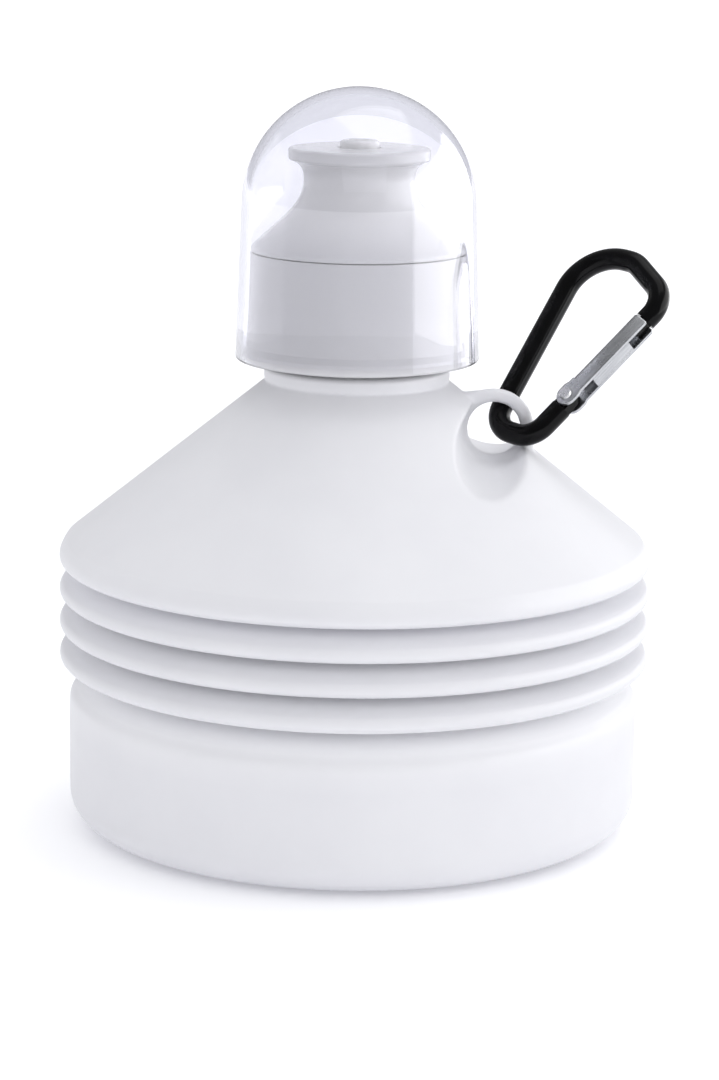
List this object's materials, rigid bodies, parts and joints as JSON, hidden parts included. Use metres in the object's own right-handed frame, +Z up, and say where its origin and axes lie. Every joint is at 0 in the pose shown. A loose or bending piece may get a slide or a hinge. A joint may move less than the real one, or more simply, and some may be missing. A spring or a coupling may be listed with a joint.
{
  "type": "folding water bottle",
  "caption": "Collapsible concertina drinking bottle, folded flat, with a push-pull spout cap, a clear dome cover and a small carabiner.",
  "frame": {"origin": "centre of the foot, on the surface the bottle stands on", "axes": "+Z up along the bottle's axis, +X towards the moulded loop and its carabiner"},
  "size_m": [0.1024, 0.1, 0.1257],
  "materials": {
    "bottle_ldpe": "satin translucent white low-density polyethylene",
    "cap_pp": "glossy white polypropylene",
    "nozzle_pp": "glossy white polypropylene",
    "cover_clear": "clear polystyrene, polished",
    "seal_foam": "soft closed-cell foam washer",
    "carabiner_black": "black anodised aluminium, semi-gloss",
    "gate_aluminium": "brushed",
    "rivet_steel": "bright",
    "spring_steel": "drawn wire"
  },
  "bodies": {
    "base": {"base_cup": "bottle_ldpe", "bellows_wall_1": "bottle_ldpe"},
    "fold_1": {"fold_ring_1": "bottle_ldpe", "bellows_wall_2": "bottle_ldpe"},
    "fold_2": {"fold_ring_2": "bottle_ldpe", "bellows_wall_3": "bottle_ldpe"},
    "fold_3": {"fold_ring_3": "bottle_ldpe", "bellows_wall_4": "bottle_ldpe"},
    "shoulder": {"shoulder": "bottle_ldpe"},
    "seal": {"cap_seal": "seal_foam"},
    "cap": {"cap_base": "cap_pp"},
    "nozzle": {"nozzle": "nozzle_pp"},
    "cover": {"dust_cover": "cover_clear"},
    "carabiner": {"carabiner_body": "carabiner_black", "gate_rivet": "rivet_steel"},
    "gate": {"carabiner_gate": "gate_aluminium", "gate_spring": "spring_steel"}
  },
  "joints": [
    {"name": "bellows_stretch", "type": "slide", "parent": "base", "child": "fold_1", "axis": [0, 0, 1], "range_m": [0, 0.009], "deforming": ["bellows_wall_1"]},
    {"name": "fold_2_stretch", "type": "slide", "parent": "fold_1", "child": "fold_2", "axis": [0, 0, 1], "range_m": [0, 0.009], "deforming": ["bellows_wall_2"]},
    {"name": "fold_3_stretch", "type": "slide", "parent": "fold_2", "child": "fold_3", "axis": [0, 0, 1], "range_m": [0, 0.009], "deforming": ["bellows_wall_3"]},
    {"name": "shoulder_stretch", "type": "slide", "parent": "fold_3", "child": "shoulder", "axis": [0, 0, 1], "range_m": [0, 0.009], "deforming": ["bellows_wall_4"]},
    {"name": "cap_rise", "type": "slide", "parent": "shoulder", "child": "seal", "axis": [0, 0, 1], "range_m": [0, 0.0081]},
    {"name": "cap_turn", "type": "hinge", "parent": "seal", "child": "cap", "pos_m": [0, 0, 0.09], "axis": [0, 0, 1], "range_deg": [0, 720]},
    {"name": "nozzle_pull", "type": "slide", "parent": "cap", "child": "nozzle", "axis": [0, 0, 1], "range_m": [0, 0.004]},
    {"name": "cover_lift", "type": "slide", "parent": "cap", "child": "cover", "axis": [0, 0, 1], "range_m": [0, 0.05]},
    {"name": "carabiner_swing", "type": "hinge", "parent": "shoulder", "child": "carabiner", "pos_m": [0.0232, 0, 0.0687], "axis": [0, 1, 0], "range_deg": [-30, 0]},
    {"name": "gate_open", "type": "hinge", "parent": "carabiner", "child": "gate", "pos_m": [0.03579, -0.00292, 0.07431], "axis": [-0.4443, -0.6643, 0.601], "range_deg": [0, 35], "stiffness_Nm_per_rad": 0.02, "springref_deg": -17.19}
  ],
  "couplings": [
    {"joint": "fold_2_stretch", "follows": "bellows_stretch", "ratio": 1},
    {"joint": "fold_3_stretch", "follows": "bellows_stretch", "ratio": 1},
    {"joint": "shoulder_stretch", "follows": "bellows_stretch", "ratio": 1},
    {"joint": "cap_rise", "follows": "cap_turn", "m_per_rad": 0.00063662}
  ]
}
